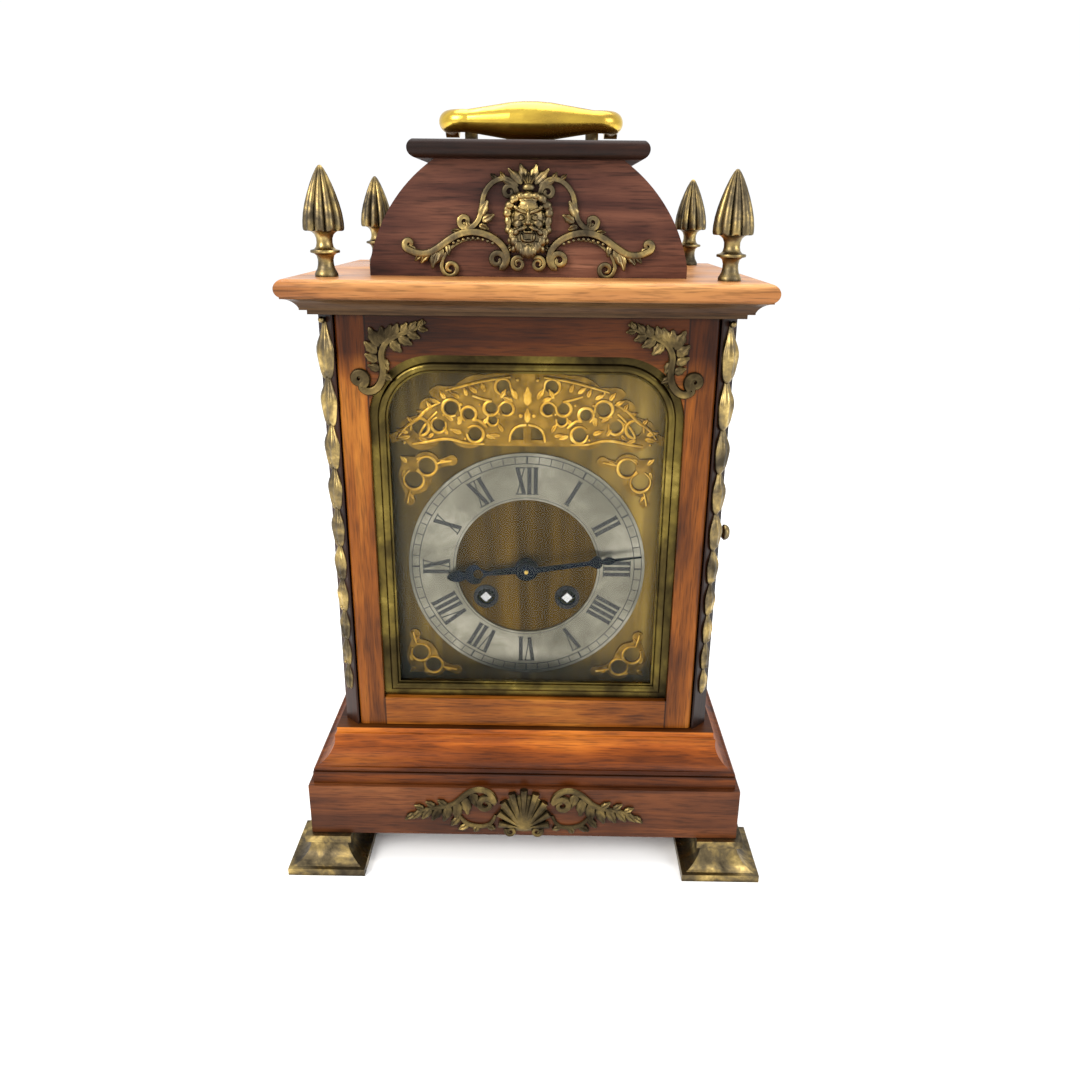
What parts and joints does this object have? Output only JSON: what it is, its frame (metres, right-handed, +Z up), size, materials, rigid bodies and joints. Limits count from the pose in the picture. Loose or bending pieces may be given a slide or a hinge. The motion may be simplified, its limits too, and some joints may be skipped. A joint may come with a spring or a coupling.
{
  "type": "bracket clock",
  "caption": "Spring-driven striking bracket clock in a wooden case with an arched top, folding handle, cast brass mounts, hinged glazed front door, pierced dial work and a working wheel train.",
  "frame": {"origin": "on the floor, under the middle of the clock", "axes": "+Z up, the dial faces -Y, +X to the right of somebody who reads the dial"},
  "size_m": [0.307, 0.257, 0.4697],
  "materials": {
    "walnut": "satin",
    "dark_walnut": "satin",
    "plinth_walnut": "satin",
    "polished_brass": "polished",
    "antique_brass": "satin",
    "bezel_brass": "satin",
    "dial_brass": "satin",
    "gilt_brass": "satin",
    "silvered_brass": "satin",
    "clock_brass": "satin",
    "blued_steel": "satin",
    "bright_steel": "satin",
    "black_iron": "satin",
    "clear_glass": "polished"
  },
  "bodies": {
    "case": {"feet": "antique_brass", "plinth": "plinth_walnut", "base_moulding": "plinth_walnut", "case_floor": "plinth_walnut", "case_side_left": "walnut", "case_side_right": "walnut", "front_post_left": "walnut", "front_post_right": "walnut", "rear_frame": "walnut", "cornice": "dark_walnut", "pediment_front": "dark_walnut", "pediment_rear": "dark_walnut", "pediment_shell": "dark_walnut", "cap": "dark_walnut", "handle_posts": "polished_brass", "finials": "antique_brass", "door_pivots": "clock_brass", "dial_plate": "dial_brass", "dial_brackets": "clock_brass", "chapter_ring": "silvered_brass", "winding_collets": "bezel_brass", "crest_fret": "gilt_brass", "spandrels": "gilt_brass", "front_plate": "clock_brass", "back_plate": "clock_brass", "back_cock": "clock_brass", "gong": "blued_steel", "gong_stand": "black_iron", "mask_mount": "antique_brass", "shell_mount": "antique_brass", "husk_drops": "antique_brass"},
    "front_door": {"door_frame": "walnut", "bezel": "bezel_brass", "door_glass": "clear_glass", "door_catch": "clock_brass", "door_mounts": "antique_brass"},
    "rear_door": {"rear_door": "walnut"},
    "rear_button": {"rear_button": "clock_brass"},
    "handle": {"handle": "polished_brass"},
    "side_knob": {"side_knob": "black_iron"},
    "minute_hand": {"minute_hand": "blued_steel", "cannon_pinion": "clock_brass"},
    "hour_hand": {"hour_hand": "blued_steel", "hour_wheel": "clock_brass"},
    "minute_wheel": {"minute_wheel": "clock_brass"},
    "centre_wheel": {"centre_wheel": "clock_brass"},
    "intermediate_wheel": {"intermediate_wheel": "clock_brass"},
    "third_wheel": {"third_wheel": "clock_brass"},
    "escape_wheel": {"escape_wheel": "clock_brass"},
    "anchor": {"anchor": "bright_steel"},
    "pendulum": {"pendulum": "clock_brass"},
    "going_barrel": {"going_barrel": "clock_brass"},
    "strike_barrel": {"strike_barrel": "clock_brass"},
    "going_winder": {"going_winder": "bright_steel"},
    "strike_winder": {"strike_winder": "bright_steel"},
    "strike_second_wheel": {"strike_second_wheel": "clock_brass"},
    "pin_wheel": {"pin_wheel": "clock_brass"},
    "gathering_wheel": {"gathering_wheel": "clock_brass"},
    "fly": {"fly": "clock_brass"},
    "hammer": {"hammer": "bright_steel"}
  },
  "joints": [
    {"name": "front_door_hinge", "type": "hinge", "parent": "case", "child": "front_door", "pos_m": [-0.1048, -0.0903, 0.093], "axis": [0, 0, -1], "range_deg": [0, 90]},
    {"name": "rear_door_hinge", "type": "hinge", "parent": "case", "child": "rear_door", "pos_m": [-0.0828, 0.0903, 0.093], "axis": [0, 0, 1], "range_deg": [0, 90]},
    {"name": "rear_button_turn", "type": "hinge", "parent": "rear_door", "child": "rear_button", "pos_m": [0.0785, 0.0903, 0.219], "axis": [0, 1, 0], "range_deg": [0, 90]},
    {"name": "handle_fold", "type": "hinge", "parent": "case", "child": "handle", "pos_m": [0, 0, 0.4591], "axis": [-1, 0, 0], "range_deg": [0, 180]},
    {"name": "side_knob_turn", "type": "hinge", "parent": "case", "child": "side_knob", "pos_m": [0.11, -0.0635, 0.219], "axis": [1, 0, 0], "range_deg": [0, 60]},
    {"name": "centre_wheel_spin", "type": "hinge", "parent": "case", "child": "centre_wheel", "pos_m": [0, 0, 0.1963], "axis": [0, 1, 0], "continuous": true},
    {"name": "minute_hand_spin", "type": "hinge", "parent": "case", "child": "minute_hand", "pos_m": [0, 0, 0.1963], "axis": [0, 1, 0], "continuous": true},
    {"name": "hour_hand_spin", "type": "hinge", "parent": "case", "child": "hour_hand", "pos_m": [0, 0, 0.1963], "axis": [0, 1, 0], "continuous": true},
    {"name": "minute_wheel_spin", "type": "hinge", "parent": "case", "child": "minute_wheel", "pos_m": [0.015, 0, 0.1963], "axis": [0, 1, 0], "continuous": true},
    {"name": "intermediate_wheel_spin", "type": "hinge", "parent": "case", "child": "intermediate_wheel", "pos_m": [0.02027, 0, 0.20179], "axis": [0, 1, 0], "continuous": true},
    {"name": "third_wheel_spin", "type": "hinge", "parent": "case", "child": "third_wheel", "pos_m": [-0.006, 0, 0.21485], "axis": [0, 1, 0], "continuous": true},
    {"name": "escape_wheel_spin", "type": "hinge", "parent": "case", "child": "escape_wheel", "pos_m": [0, 0, 0.23198], "axis": [0, 1, 0], "continuous": true},
    {"name": "going_barrel_spin", "type": "hinge", "parent": "case", "child": "going_barrel", "pos_m": [0.0262, 0, 0.1755], "axis": [0, 1, 0], "continuous": true},
    {"name": "going_winder_turn", "type": "hinge", "parent": "case", "child": "going_winder", "pos_m": [0.0262, 0, 0.1755], "axis": [0, 1, 0], "continuous": true},
    {"name": "pin_wheel_spin", "type": "hinge", "parent": "case", "child": "pin_wheel", "pos_m": [-0.03846, 0, 0.21229], "axis": [0, 1, 0], "continuous": true},
    {"name": "strike_second_spin", "type": "hinge", "parent": "case", "child": "strike_second_wheel", "pos_m": [-0.02027, 0, 0.20179], "axis": [0, 1, 0], "continuous": true},
    {"name": "strike_barrel_spin", "type": "hinge", "parent": "case", "child": "strike_barrel", "pos_m": [-0.0262, 0, 0.1755], "axis": [0, 1, 0], "continuous": true},
    {"name": "strike_winder_turn", "type": "hinge", "parent": "case", "child": "strike_winder", "pos_m": [-0.0262, 0, 0.1755], "axis": [0, 1, 0], "continuous": true},
    {"name": "gathering_wheel_spin", "type": "hinge", "parent": "case", "child": "gathering_wheel", "pos_m": [-0.0338, 0, 0.22968], "axis": [0, 1, 0], "continuous": true},
    {"name": "fly_spin", "type": "hinge", "parent": "case", "child": "fly", "pos_m": [-0.02671, 0, 0.24195], "axis": [0, 1, 0], "continuous": true},
    {"name": "pendulum_swing", "type": "hinge", "parent": "case", "child": "pendulum", "pos_m": [0, 0, 0.25178], "axis": [0, 1, 0], "range_deg": [-3.5, 3.5]},
    {"name": "anchor_rock", "type": "hinge", "parent": "case", "child": "anchor", "pos_m": [0, 0, 0.25178], "axis": [0, 1, 0], "range_deg": [-3.5, 3.5]},
    {"name": "hammer_lift", "type": "hinge", "parent": "case", "child": "hammer", "pos_m": [-0.056, 0, 0.1903], "axis": [0, 1, 0], "range_deg": [0, 25]}
  ],
  "couplings": [
    {"joint": "minute_hand_spin", "follows": "centre_wheel_spin", "ratio": 1},
    {"joint": "hour_hand_spin", "follows": "centre_wheel_spin", "ratio": 0.083333},
    {"joint": "minute_wheel_spin", "follows": "centre_wheel_spin", "ratio": -0.33333},
    {"joint": "intermediate_wheel_spin", "follows": "centre_wheel_spin", "ratio": -0.16667},
    {"joint": "going_barrel_spin", "follows": "centre_wheel_spin", "ratio": 0.027778},
    {"joint": "third_wheel_spin", "follows": "centre_wheel_spin", "ratio": -12},
    {"joint": "escape_wheel_spin", "follows": "centre_wheel_spin", "ratio": 120},
    {"joint": "strike_second_spin", "follows": "pin_wheel_spin", "ratio": -0.16667},
    {"joint": "strike_barrel_spin", "follows": "pin_wheel_spin", "ratio": 0.027778},
    {"joint": "gathering_wheel_spin", "follows": "pin_wheel_spin", "ratio": -8},
    {"joint": "fly_spin", "follows": "pin_wheel_spin", "ratio": 64},
    {"joint": "anchor_rock", "follows": "pendulum_swing", "ratio": 1}
  ]
}
